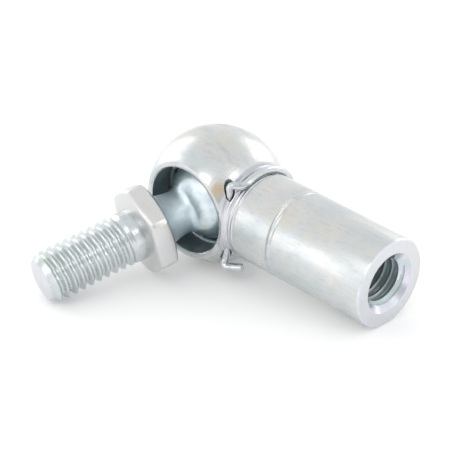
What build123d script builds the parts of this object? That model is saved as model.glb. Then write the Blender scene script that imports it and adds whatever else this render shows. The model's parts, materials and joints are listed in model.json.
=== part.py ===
from build123d import *
from math import asin, atan2, degrees, hypot, radians, sqrt, tan
import os

# Angle ball joint, 10 mm ball, M6 threads. Every piece is drawn about the ball centre: the shank runs
# along +X, the bore opens toward -Y, and the stud stands on +Z. At the end the pieces are turned so
# that the joint lies on the ground on its head, the end of its shank and the end of its stud.

# Ball stud
ball_d = 10.0
neck_d = 5.0
neck_root_d = 6.3
neck_blend = 1.0
hexagon_across_flats = 9.6
hexagon_start = 7.75
hexagon_thickness = 2.75
hexagon_face_share = 0.95
hexagon_chamfer_angle = 30.0
hexagon_spin = 31.0
stud_thread_d = 5.85
stud_length = 11.9
stud_end_chamfer = 0.7

# Socket: head, bore and shank
seat_clearance = 0.05
head_d = 15.2
opening_distance = 5.1
rim_chamfer = 0.12
shank_d = 10.1
shank_end_distance = 25.0
shank_end_chamfer = 0.2
shank_thread_d = 6.0
shank_thread_depth = 11.5
tapping_drill_d = 5.0
tapping_drill_depth = 13.0
drill_point_angle = 118.0
countersink_d = 6.9
tool_ring_distance = 12.1
tool_ring_width = 0.55
tool_ring_depth = 0.07

# Retaining ring and its groove in the bore
ring_wire_d = 0.8
ring_distance = 2.05
ring_ball_clearance = 0.06
ring_groove_clearance = 0.05
ring_gap_angle = 34.0
ring_gap_direction = 187.0

# Safety clip, its cross hole and its groove round the shank. The shoulder runs from the top of the pin
# toward the bow, the limb from the foot of the pin to the corner of the hook, and the hook to the tip.
clip_wire_d = 0.9
clip_groove_width = 0.9
clip_groove_depth = 0.25
clip_groove_clearance = 0.05
cross_hole_d = 1.2
cross_hole_setback = 1.24
cross_hole_y = -3.656
cross_hole_lean = 2.65
clip_seat_clearance = 0.06
clip_shoulder_height = 0.35
clip_shoulder = (0.7, 0.58, -0.08)
clip_bow_start = 108.0
clip_bow_sweep = 205.0
clip_limb_start = 0.23
clip_limb = (-0.4, -0.57, -1.035)
clip_hook = (2.65, 0.92, 0.64)
clip_bend_r = 0.5

# Rest position
bore_dip = 3.4
stud_yaw = 16.9

# How far a cutting shape stands clear of what it cuts
cut_margin = 0.1

# Worked out from the above
ball_r = ball_d / 2
head_r = head_d / 2
shank_r = shank_d / 2
bore_r = ball_r + seat_clearance
neck_foot_z = sqrt(ball_r**2 - (neck_d / 2) ** 2)
stud_r = stud_thread_d / 2
bearing_face_z = hexagon_start + hexagon_thickness
stud_end_z = bearing_face_z + stud_length
ring_wire_r = ring_wire_d / 2
ring_r = sqrt((ball_r + ring_wire_r + ring_ball_clearance) ** 2 - ring_distance**2)
groove_floor_r = shank_r - clip_groove_depth
groove_start_x = sqrt(head_r**2 - groove_floor_r**2)
clip_wire_r = clip_wire_d / 2
clip_bow_x = groove_start_x + clip_groove_width / 2
clip_bow_r = groove_floor_r + clip_wire_r + clip_groove_clearance
cross_hole_x = clip_bow_x - cross_hole_setback


def on_pin(z):
    """Point at this height on the axis of the cross hole, which the clip's pin fills."""
    return Vector(cross_hole_x, cross_hole_y + z * tan(radians(cross_hole_lean)), z)


def cross_hole_mouth(side):
    """Point where the cross hole's axis leaves the head, on the upper side (1) or the lower side (-1)."""
    slope = tan(radians(cross_hole_lean))
    across = 1 + slope**2
    middle = cross_hole_y * slope / across
    reach = sqrt(middle**2 + (head_r**2 - cross_hole_x**2 - cross_hole_y**2) / across)
    return on_pin(side * reach - middle)


def droop_to_ground(distance, radius):
    """Angle that lowers an edge circle of this radius, this far out, to the level of the head's underside."""
    return degrees(asin(head_r / hypot(distance, radius)) - atan2(radius, distance))


# Hexagon of the stud, with both faces chamfered round
with BuildPart() as hexagon:
    with BuildSketch(Plane.XY.offset(hexagon_start)):
        RegularPolygon(hexagon_across_flats / 2, 6, major_radius=False, rotation=hexagon_spin)
    extrude(amount=hexagon_thickness)
    with BuildSketch(Plane.XZ):
        face_r = hexagon_face_share * hexagon_across_flats / 2
        clear_r = hexagon_across_flats / sqrt(3) + cut_margin
        chamfer_h = (clear_r - face_r) * tan(radians(hexagon_chamfer_angle))
        with BuildLine():
            Polyline(
                (0, hexagon_start),
                (face_r, hexagon_start),
                (clear_r, hexagon_start + chamfer_h),
                (clear_r, bearing_face_z - chamfer_h),
                (face_r, bearing_face_z),
                (0, bearing_face_z),
                close=True,
            )
        make_face()
    revolve(axis=Axis.Z, mode=Mode.INTERSECT)

# Ball stud: ball, waisted neck, hexagon and threaded end, one piece turned from hexagon bar
with BuildPart() as ball_stud:
    with BuildSketch(Plane.XZ):
        with BuildLine():
            ThreePointArc((0, -ball_r), (ball_r, 0), (neck_d / 2, neck_foot_z))
            TangentArc((neck_d / 2, neck_foot_z), (neck_root_d / 2, hexagon_start), tangent=(0, 1))
            Polyline(
                (neck_root_d / 2, hexagon_start),
                (stud_r, hexagon_start),
                (stud_r, stud_end_z - stud_end_chamfer),
                (stud_r - stud_end_chamfer, stud_end_z),
                (0, stud_end_z),
                (0, -ball_r),
            )
        make_face()
    revolve(axis=Axis.Z)
    neck_foot = ball_stud.edges().filter_by(GeomType.CIRCLE).sort_by_distance((neck_d / 2, 0, neck_foot_z))[0]
    fillet(neck_foot, neck_blend)
    add(hexagon.part)
ball_stud.part.label = "ball_stud"

# Socket: round head and shank, turned in one piece, then bored from the side for the ball
with BuildPart() as ball_socket:
    with BuildSketch(Plane.XZ):
        with BuildLine():
            ThreePointArc((-head_r, 0), (0, head_r), (groove_start_x, groove_floor_r))
            Polyline(
                (groove_start_x, groove_floor_r),
                (groove_start_x + clip_groove_width, groove_floor_r),
                (groove_start_x + clip_groove_width + clip_groove_depth, shank_r),
                (shank_end_distance - shank_end_chamfer, shank_r),
                (shank_end_distance, shank_r - shank_end_chamfer),
                (shank_end_distance, 0),
                (-head_r, 0),
            )
        make_face()
    revolve(axis=Axis.X)
    split(bisect_by=Plane.XZ.offset(opening_distance), keep=Keep.BOTTOM)

    # Bore for the ball: round seat, straight wall and broken rim
    with BuildSketch(Plane.XY):
        with BuildLine():
            CenterArc((0, 0), bore_r, 0, 90)
            Polyline(
                (bore_r, 0),
                (bore_r, rim_chamfer - opening_distance),
                (bore_r + rim_chamfer, -opening_distance),
                (0, -opening_distance),
                (0, bore_r),
            )
        make_face()
    revolve(axis=Axis.Y, mode=Mode.SUBTRACT)

    # Groove of the retaining ring
    with BuildSketch(Plane.XY):
        with Locations((ring_r, -ring_distance)):
            Circle(ring_wire_r + ring_groove_clearance)
    revolve(axis=Axis.Y, mode=Mode.SUBTRACT)

    # Hole across the head, in front of the ball, for the pin of the safety clip
    with Locations(Location((cross_hole_x, cross_hole_y, 0), (-cross_hole_lean, 0, 0))):
        Cylinder(cross_hole_d / 2, head_d, mode=Mode.SUBTRACT)

    # Shallow seat where the clip's wire leaves the hole and turns toward its groove
    pin_head = cross_hole_mouth(1) + Vector(0, 0, clip_shoulder_height)
    seat_plane = Plane(origin=pin_head, z_dir=Vector(*clip_shoulder))
    with Locations(seat_plane.location):
        Cylinder(
            clip_wire_d / 2 + clip_seat_clearance,
            Vector(*clip_shoulder).length + clip_wire_d,
            align=(Align.CENTER, Align.CENTER, Align.MIN),
            mode=Mode.SUBTRACT,
        )

    # Threaded hole in the shank, as wide as the thread, with the tapping drill's run-out beyond it
    with BuildSketch(Plane.XZ):
        thread_r = shank_thread_d / 2
        countersink_r = countersink_d / 2
        drill_r = tapping_drill_d / 2
        thread_floor_x = shank_end_distance - shank_thread_depth
        drill_floor_x = shank_end_distance - tapping_drill_depth
        with BuildLine():
            Polyline(
                (shank_end_distance, 0),
                (shank_end_distance, countersink_r),
                (shank_end_distance - countersink_r + thread_r, thread_r),
                (thread_floor_x, thread_r),
                (thread_floor_x, drill_r),
                (drill_floor_x, drill_r),
                (drill_floor_x - drill_r / tan(radians(drill_point_angle / 2)), 0),
                close=True,
            )
        make_face()
    revolve(axis=Axis.X, mode=Mode.SUBTRACT)

    # Shallow ring turned in the shank
    with BuildSketch(Plane.XZ):
        with Locations((tool_ring_distance, shank_r)):
            Rectangle(tool_ring_width, 2 * tool_ring_depth)
    revolve(axis=Axis.X, mode=Mode.SUBTRACT)
ball_socket.part.label = "ball_socket"

# Retaining ring: round spring wire in the bore, with a gap so that it can be sprung past the rim
with BuildPart() as retaining_ring:
    with BuildSketch(Plane.XY.rotated((0, -ring_gap_direction, 0))):
        with Locations((ring_r, -ring_distance)):
            Circle(ring_wire_r)
    revolve(axis=Axis.Y, revolution_arc=360 - ring_gap_angle)
retaining_ring.part.label = "retaining_ring"

# Safety clip: one spring wire with a hook, a straight pin through the cross hole and a bow in the groove
shoulder = pin_head + Vector(*clip_shoulder)
pin_foot = cross_hole_mouth(-1) - Vector(0, 0, clip_limb_start)
hook_corner = pin_foot + Vector(*clip_limb)
hook_tip = hook_corner + Vector(*clip_hook)
with BuildLine(Plane.YZ.offset(clip_bow_x)) as clip_bow:
    CenterArc((0, 0), clip_bow_r, clip_bow_start, -clip_bow_sweep)
with BuildPart() as safety_clip:
    with BuildLine() as clip_line:
        FilletPolyline(hook_tip, hook_corner, pin_foot, pin_head, shoulder, radius=clip_bend_r)
        add(clip_bow.line)
        Spline(shoulder, clip_bow.line @ 0, tangents=(shoulder - pin_head, clip_bow.line % 0))
    with BuildSketch(Plane(origin=clip_line.wire() @ 0, z_dir=clip_line.wire() % 0)):
        Circle(clip_wire_r)
    sweep(path=clip_line.wire())
safety_clip.part.label = "safety_clip"

# Lay the joint down: the ends of the shank and of the stud come down level with the underside of the head
shank_droop = droop_to_ground(shank_end_distance - shank_end_chamfer, shank_r)
stud_droop = droop_to_ground(stud_end_z - stud_end_chamfer, stud_r)
socket_turn = Rotation(0, shank_droop, 0) * Rotation(bore_dip, 0, 0)
stud_turn = Rotation(0, 0, -stud_yaw) * Rotation(90 + stud_droop, 0, 0)
pieces = (
    (ball_socket, socket_turn),
    (retaining_ring, socket_turn),
    (safety_clip, socket_turn),
    (ball_stud, stud_turn),
)
for piece, turn in pieces:
    piece.part = piece.part.moved(turn)

# The origin is on the ground, under the middle of the whole joint
extent = Compound([piece.part for piece, turn in pieces]).bounding_box()
to_ground = Location((-extent.center().X, -extent.center().Y, -extent.min.Z))
for piece, turn in pieces:
    piece.part = piece.part.moved(to_ground)

os.makedirs("parts", exist_ok=True)
export_step(ball_socket.part, "parts/ball_socket.step")
export_step(retaining_ring.part, "parts/retaining_ring.step")
export_step(safety_clip.part, "parts/safety_clip.step")
export_step(ball_stud.part, "parts/ball_stud.step")
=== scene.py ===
import json
from functools import partial
from math import acos, asin, atan2, ceil, cos, degrees, pi, radians, sin, sqrt, tan

import bpy
from bpy.props import FloatProperty, FloatVectorProperty, PointerProperty, StringProperty
from mathutils import Matrix, Vector


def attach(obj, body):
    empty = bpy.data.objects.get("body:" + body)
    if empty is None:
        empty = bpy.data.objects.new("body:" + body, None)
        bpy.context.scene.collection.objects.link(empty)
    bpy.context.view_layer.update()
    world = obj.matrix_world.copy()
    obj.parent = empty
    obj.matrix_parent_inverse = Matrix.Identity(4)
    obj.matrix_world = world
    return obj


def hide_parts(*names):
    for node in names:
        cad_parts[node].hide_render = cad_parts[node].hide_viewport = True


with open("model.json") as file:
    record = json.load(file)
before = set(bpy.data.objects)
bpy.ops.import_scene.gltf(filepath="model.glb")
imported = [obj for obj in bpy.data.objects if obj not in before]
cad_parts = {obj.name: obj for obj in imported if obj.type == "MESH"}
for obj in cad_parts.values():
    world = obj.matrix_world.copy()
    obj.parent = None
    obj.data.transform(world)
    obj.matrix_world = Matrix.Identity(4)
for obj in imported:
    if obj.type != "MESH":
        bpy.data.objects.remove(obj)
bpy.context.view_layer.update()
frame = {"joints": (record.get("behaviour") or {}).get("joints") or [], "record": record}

bl_info = {
    "name": "Angle ball joint",
    "version": (1, 0, 0),
    "blender": (4, 5, 0),
    "location": "View3D > Sidebar > Ball Joint",
    "description": "Ball stud, socket, retaining ring and safety clip of a zinc plated angle ball joint",
    "category": "Add Mesh",
}

MM = 0.001
JOINTS = {joint["name"]: joint for joint in frame["joints"]}
MOUNTS = {mount["name"]: mount for mount in frame["record"]["mounts"]}

# Slack when a face is told by where it lies, and how far a cutter runs past what it cuts
HAIR = 0.02 * MM
PAST = 1.0 * MM

# The colour sockets of a Mix node, which share their names with its other kinds
MIX_A, MIX_B, MIX_RESULT = 6, 7, 2

# Material slots of the socket; one of them is the painted shade of the bore and cross hole
HEAD, SHANK, FACED, TAPPED, PAINTED_BORE_SHADE, COVE, SUNK = range(7)


# ---------------------------------------------------------------- places, from the record

def place(centre, along, across):
    """A matrix that puts local Z along one direction and local X as near as it can to another."""
    z = Vector(along).normalized()
    x = Vector(across) - z * Vector(across).dot(z)
    x.normalize()
    y = z.cross(x)
    turn = Matrix((x, y, z)).transposed().to_4x4()
    return Matrix.Translation(Vector(centre)) @ turn


BALL_CENTRE = Vector(JOINTS["ring_turn"]["pos_m"])
SHANK_WAY = Vector(MOUNTS["shank_thread"]["axis"])
BORE_WAY = Vector(JOINTS["ring_turn"]["axis"])
STUD_WAY = Vector(MOUNTS["stud_thread"]["axis"])
UP = Vector((0, 0, 1))
SOCKET_TURN = Matrix((SHANK_WAY, -BORE_WAY, SHANK_WAY.cross(-BORE_WAY))).transposed()
SOCKET_PLACE = Matrix.Translation(BALL_CENTRE) @ SOCKET_TURN.to_4x4()
SHANK_PLACE = place(BALL_CENTRE, SHANK_WAY, -BORE_WAY)
BORE_PLACE = place(BALL_CENTRE, BORE_WAY, SHANK_WAY)
STUD_PLACE = place(BALL_CENTRE, STUD_WAY, UP.cross(STUD_WAY))


# ---------------------------------------------------------------- sizes and colours

def length(name, description, millimetres):
    """A length that a user may change, kept in metres."""
    value = millimetres * MM
    return FloatProperty(name=name, description=description, default=value, subtype="DISTANCE", precision=5)


def angle(name, description, value):
    """An angle that a user may change, given in degrees and kept in radians."""
    return FloatProperty(name=name, description=description, default=radians(value), subtype="ANGLE")


def amount(name, description, value):
    """A plain number that a user may change, such as a brightness."""
    return FloatProperty(name=name, description=description, default=value)


def step_by(name, description, millimetres):
    """A step from one point to the next along the shank, away from the opening and up, kept in metres."""
    values = [value * MM for value in millimetres]
    return FloatVectorProperty(name=name, description=description, default=values, unit="LENGTH", precision=5)


def colour(name, description, code):
    """A colour that a user may change, as an sRGB hex value."""
    return StringProperty(name=name, description=description, default=code)


class StudSizes(bpy.types.PropertyGroup):
    """Sizes of the ball stud, along its axis from the ball centre"""

    ball_d: length("Ball", "Diameter of the ball", 10.0)
    neck_d: length("Neck", "Diameter of the waisted neck at its thinnest", 5.0)
    neck_root_d: length("Neck root", "Diameter of the neck where it meets the hexagon", 6.3)
    neck_blend: length("Neck blend", "Radius between the ball and the neck", 1.0)
    neck_seat: length("Neck seat", "How far the neck runs into the hexagon", 0.3)
    hexagon_across_flats: length("Hexagon across flats", "Size of the spanner that fits", 9.6)
    hexagon_start: length("Hexagon start", "From the ball centre to the hexagon", 7.75)
    hexagon_thickness: length("Hexagon thickness", "Along the stud", 2.75)
    hexagon_face_d: length("Hexagon face", "Diameter of the flat face inside the chamfer", 7.6)
    hexagon_slope: angle("Hexagon chamfer", "Slope of the chamfer round the flat face", 15.0)
    hexagon_edge: length("Hexagon edge", "Rounding of the hexagon's edges", 0.36)
    hexagon_crown: length("Hexagon crown", "How far each flat falls away at its edges", 0.22)
    hexagon_turn: angle("Hexagon turn", "Turn of the hexagon about the stud", 1.0)
    thread_d: length("Thread", "Diameter over the thread's crests", 5.85)
    thread_root_d: length("Thread root", "Diameter at the bottom of the thread", 4.86)
    thread_pitch: length("Pitch", "Distance between the thread's crests", 1.0)
    thread_seat: length("Thread seat", "How far the threaded end runs into the hexagon", 0.4)
    collar: length("Collar", "Plain length between the hexagon and the thread", 0.75)
    run_out: length("Run-out", "Length over which the thread reaches its full depth", 2.2)
    stud_length: length("Threaded end", "From the hexagon to the end of the stud", 11.9)
    end_chamfer: length("End chamfer", "Chamfer that leads the thread in", 0.7)
    end_dome: length("End dome", "Height of the domed end face", 0.16)


class SocketSizes(bpy.types.PropertyGroup):
    """Sizes of the socket, along its shank from the ball centre"""

    head_d: length("Head", "Diameter of the round head", 15.2)
    opening: length("Opening", "From the ball centre to the flat face of the opening", 5.1)
    bore_d: length("Bore", "Diameter of the bore for the ball", 10.1)
    rim_chamfer: length("Rim chamfer", "Broken edge of the bore", 0.12)
    lip_chamfer: length("Lip chamfer", "Where the head's broken edge starts on the flat face", 0.08)
    lip_out: length("Lip out", "How far out the cone that breaks the head's edge reaches", 0.13)
    lip_back: length("Lip back", "How far back the cone that breaks the head's edge reaches", 0.11)
    ring_distance: length("Ring groove", "From the ball centre to the ring's groove", 2.05)
    ring_groove_d: length("Ring groove width", "Diameter of the round groove's section", 0.9)
    shank_d: length("Shank", "Diameter of the shank", 10.1)
    shank_end: length("Shank end", "From the ball centre to the end face", 25.0)
    end_chamfer: length("End chamfer", "Broken edge of the end face", 0.2)
    neck_groove_depth: length("Neck groove depth", "Depth of the groove that takes the clip's bow", 0.25)
    neck_groove_width: length("Neck groove width", "Width of the groove that takes the clip's bow", 0.98)
    cove_start: length("Cove start", "From the ball centre to where the cove leaves the head", 5.0)
    cove_depth: length("Cove depth", "How far the cove is cut below the head's round", 0.1)
    turned_line: length("Turned line", "Depth of the turned lines in the cove", 0.08)
    turned_pitch: length("Turned pitch", "Distance between the turned lines", 0.4)
    tool_ring: length("Turned ring", "From the ball centre to the ring turned in the shank", 12.1)
    tool_ring_width: length("Turned ring width", "Width of the ring turned in the shank", 0.62)
    tool_ring_depth: length("Turned ring depth", "Depth of the ring turned in the shank", 0.05)
    tool_line_width: length("Turned ring edge", "Width of the line on each side of the ring", 0.18)
    tool_line_depth: length("Turned ring edge depth", "Depth of the line on each side of the ring", 0.11)
    cross_hole_d: length("Cross hole", "Hole across the head for the clip's pin", 1.2)
    cross_hole_x: length("Cross hole along", "From the ball centre along the shank", 5.102)
    cross_hole_y: length("Cross hole forward", "From the ball centre toward the opening", 3.656)
    cross_hole_lean: angle("Cross hole lean", "Lean of the cross hole away from the opening", 2.65)
    thread_d: length("Thread", "Outer diameter of the thread in the shank", 6.0)
    thread_pitch: length("Pitch", "Distance between the thread's crests", 1.0)
    thread_depth: length("Thread depth", "Length of the thread in the shank", 11.5)
    tap_root_d: length("Tap root", "Diameter between the tap's teeth, a little under the drill's", 4.85)
    tap_past: length("Tap past", "How far the tap stands out of the hole", 0.6)
    drill_d: length("Tapping drill", "Diameter of the tapping drill", 5.0)
    drill_depth: length("Drill depth", "Full depth of the tapping drill", 13.0)
    drill_point: angle("Drill point", "Full angle of the tapping drill's point", 118.0)
    countersink_d: length("Countersink", "Diameter at the mouth of the threaded hole", 6.9)


class WireSizes(bpy.types.PropertyGroup):
    """Sizes of the retaining ring and of the safety clip"""

    ring_wire_d: length("Ring wire", "Diameter of the retaining ring's wire", 0.8)
    ring_ball_gap: length("Ring gap to ball", "Clearance between the ring and the ball", 0.06)
    ring_open: angle("Ring opening", "Angle that the split ring leaves open", 34.0)
    ring_open_way: angle("Ring opening way", "Where the split ring is open", 187.0)
    ring_end: length("Ring end", "Rounding of the ring wire's two ends", 0.12)
    clip_wire_d: length("Clip wire", "Diameter of the safety clip's wire", 0.9)
    clip_gap: length("Clip gap", "Clearance between the clip's bow and its groove", 0.05)
    seat_gap: length("Clip seat gap", "Clearance between the clip's shoulder and its seat in the head", 0.06)
    shoulder_height: length("Shoulder height", "How far the pin stands above the head", 0.35)
    shoulder: step_by("Shoulder", "From the top of the pin toward the bow", (0.7, 0.58, -0.08))
    bow_setback: length("Bow setback", "From the head to the middle of the bow's wire", 0.45)
    bow_start: angle("Bow start", "Where the bow begins", 108.0)
    bow_sweep: angle("Bow sweep", "How far the bow goes round the shank", 205.0)
    limb_start: length("Limb start", "How far the pin stands below the head", 0.23)
    limb: step_by("Limb", "From the foot of the pin to the corner of the hook", (-0.4, -0.57, -1.035))
    hook: step_by("Hook", "From the corner of the hook to its tip", (2.65, 0.92, 0.64))
    clip_bend_r: length("Clip bend", "Radius of the clip's bends, at the wire's middle", 0.5)
    clip_end: length("Clip end", "Rounding of the clip wire's two ends", 0.16)
    wire_step: length("Wire step", "Distance between the rings of points along a wire", 0.06)


class FinishColours(bpy.types.PropertyGroup):
    """Colours of the plating, the wires and the painted shade of the bore"""

    zinc: colour("Zinc plating", "Bright zinc, where it is even", "#D9DAD8")
    zinc_cool: colour("Cool zinc", "Bluish tint of the clear passivation", "#CCD2D4")
    zinc_warm: colour("Warm zinc", "Yellowish tint of the clear passivation", "#D9D6CB")
    zinc_faced: colour("Faced zinc", "Plating on the faces that were cut last", "#D7D9DC")
    stain: colour("Stain", "Yellow-brown passivation that ran from the cross hole", "#DCC8A2")
    # The fleck colour is also the painted shade of the cove's turned lines
    fleck_and_line_shade: colour("Fleck", "Grey flecks of the drawn bar under the plating", "#8F959B")
    polished: colour("Polished zinc", "Plating on the smooth ball", "#E4EFF3")
    wire: colour("Plated wire", "Plating on the clip's spring wire", "#D0D5D7")
    ring_wire: colour("Spring wire", "Bare oiled spring wire of the ring", "#DDE2E4")
    wire_wear: colour("Worn wire", "Darker spots where a wire is worn", "#7B8389")
    # The bore's two colours are painted shade: darker steel standing in for the shade deep in the bore and
    # cross hole
    bore_shade_deep: colour("Bore shade", "Deeper painted shade in the bore and cross hole", "#A3B0B5")
    bore_shade_pale: colour("Paler bore shade", "Paler painted shade in the bore and cross hole, in smears", "#B9C2C3")
    floor: colour("Floor", "Pale studio floor", "#F4F4F4")


class StageSettings(bpy.types.PropertyGroup):
    """Camera and lights of the studio"""

    azimuth: angle("Azimuth", "Camera's turn round the joint", 44.315)
    elevation: angle("Elevation", "Camera's height above the horizon", 26.530)
    roll: angle("Roll", "Camera's lean to the right", 1.414)
    distance: length("Distance", "From the camera to what it looks at", 300.1)
    target_x: length("Target X", "Point that the camera looks at", -6.434)
    target_y: length("Target Y", "Point that the camera looks at", 6.497)
    target_z: length("Target Z", "Point that the camera looks at", 4.322)
    sensor: amount("Sensor", "Width of the camera's sensor, in millimetres", 36.0)
    focal: amount("Focal length", "In millimetres, on that sensor", 218.29)
    walls: amount("Studio walls", "Brightness of the white walls", 1.02)
    ceiling: amount("Studio ceiling", "Brightness straight above", 0.95)
    camera_side: amount("Camera side", "Share of that brightness left on the dim side by the camera", 0.66)
    table: amount("Table light", "Glow of the translucent table", 0.15)
    table_side: length("Table side", "Side of the square table", 3000.0)
    lamp_distance: length("Lamp distance", "From the ball centre to each lamp", 500.0)
    left_power: amount("Left softbox", "Left of the camera, in watts", 0.15)
    right_power: amount("Right softbox", "Right of the camera, in watts", 0.12)
    back_left_power: amount("Back left softbox", "Behind on the left, in watts", 0.5)
    back_right_power: amount("Back right softbox", "Behind on the right, in watts", 0.32)
    front_left_power: amount("Front left lamp", "By the camera, on its left, in watts", 0.17)
    front_right_power: amount("Front right lamp", "By the camera, on its right, in watts", 0.1)


# ---------------------------------------------------------------- small tools

def linear(code):
    """The linear colour, with alpha, of an sRGB hex value."""
    values = [int(code[i : i + 2], 16) / 255 for i in (1, 3, 5)]
    return tuple(v / 12.92 if v <= 0.04045 else ((v + 0.055) / 1.055) ** 2.4 for v in values) + (1.0,)


def add_node(tree, kind, inputs=None, **settings):
    """Adds a node, sets its properties and fills its inputs, where a node stands for its first output."""
    node = tree.nodes.new(kind)
    for name, value in settings.items():
        setattr(node, name, value)
    for key, value in (inputs or {}).items():
        if isinstance(value, bpy.types.Node):
            value = value.outputs[0]
        if isinstance(value, bpy.types.NodeSocket):
            tree.links.new(value, node.inputs[key])
        else:
            node.inputs[key].default_value = value
    return node


def link_object(name, data):
    """A new object in the scene that holds the data."""
    piece = bpy.data.objects.new(name, data)
    bpy.context.scene.collection.objects.link(piece)
    return piece


def smooth(mesh, sharp):
    """Shades a mesh smooth, but keeps edges sharper than this angle, in degrees."""
    mesh.shade_smooth()
    mesh.set_sharp_from_angle(angle=radians(sharp))


def set_materials(piece, *materials):
    """Gives a piece these materials, in this order, and no others."""
    piece.data.materials.clear()
    for material in materials:
        piece.data.materials.append(material)


def arc(centre, radius, start, end, steps):
    """Points on a circle's arc, as pairs, both ends included. Angles in degrees."""
    turns = [radians(start + (end - start) * i / steps) for i in range(steps + 1)]
    return [(centre[0] + radius * cos(turn), centre[1] + radius * sin(turn)) for turn in turns]


def turned(name, stations, steps, matrix):
    """A closed piece turned about local Z, from stations that run up its outside, from axis to axis.

    A station is a pair of radius and height, or a rule that gives the pair for each angle.
    """
    turns = [2 * pi * i / steps for i in range(steps)]
    points = []
    rows = []
    for station in stations:
        pairs = [station(turn) if callable(station) else station for turn in turns]
        first = len(points)
        if not any(radius for radius, height in pairs):
            points.append((0, 0, pairs[0][1]))
            rows.append([first] * steps)
            continue
        for turn, (radius, height) in zip(turns, pairs):
            points.append((radius * cos(turn), radius * sin(turn), height))
        rows.append(list(range(first, first + steps)))
    faces = []
    for low, high in zip(rows, rows[1:]):
        for i in range(steps):
            j = (i + 1) % steps
            corners = [low[i], low[j], high[j], high[i]]
            kept = [c for k, c in enumerate(corners) if c not in corners[:k]]
            if len(kept) > 2:
                faces.append(kept)
    mesh = bpy.data.meshes.new(name)
    mesh.from_pydata(points, [], faces)
    mesh.transform(matrix)
    mesh.validate()
    return link_object(name, mesh)


def settled(piece):
    """Gives a piece the mesh that its modifiers make, and removes them."""
    graph = bpy.context.evaluated_depsgraph_get()
    mesh = bpy.data.meshes.new_from_object(piece.evaluated_get(graph))
    piece.modifiers.clear()
    piece.data = mesh
    mesh.name = piece.name
    return piece


def run_tree(piece, tree, values):
    """Runs a Geometry Nodes tree on a piece with these named inputs, and keeps the plain mesh."""
    modifier = piece.modifiers.new(tree.name, "NODES")
    modifier.node_group = tree
    for item in tree.interface.items_tree:
        if item.item_type == "SOCKET" and item.in_out == "INPUT" and item.name in values:
            modifier[item.identifier] = values[item.name]
    return settled(piece)


# ---------------------------------------------------------------- Geometry Nodes

def new_tree(name, **inputs):
    """A Geometry Nodes tree with a geometry input, these named inputs of each kind, and a geometry output."""
    tree = bpy.data.node_groups.new(name, "GeometryNodeTree")
    tree.interface.new_socket("Geometry", in_out="INPUT", socket_type="NodeSocketGeometry")
    for kind, labels in inputs.items():
        for label in labels:
            tree.interface.new_socket(label, in_out="INPUT", socket_type="NodeSocket" + kind)
    tree.interface.new_socket("Geometry", in_out="OUTPUT", socket_type="NodeSocketGeometry")
    return tree


def end_tree(tree, geometry, material):
    """Makes the geometry real, gives it its material and sends it out."""
    real = add_node(tree, "GeometryNodeRealizeInstances", {"Geometry": geometry})
    finished = add_node(tree, "GeometryNodeSetMaterial", {"Geometry": real, "Material": material})
    add_node(tree, "NodeGroupOutput", {0: finished})
    return tree


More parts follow.
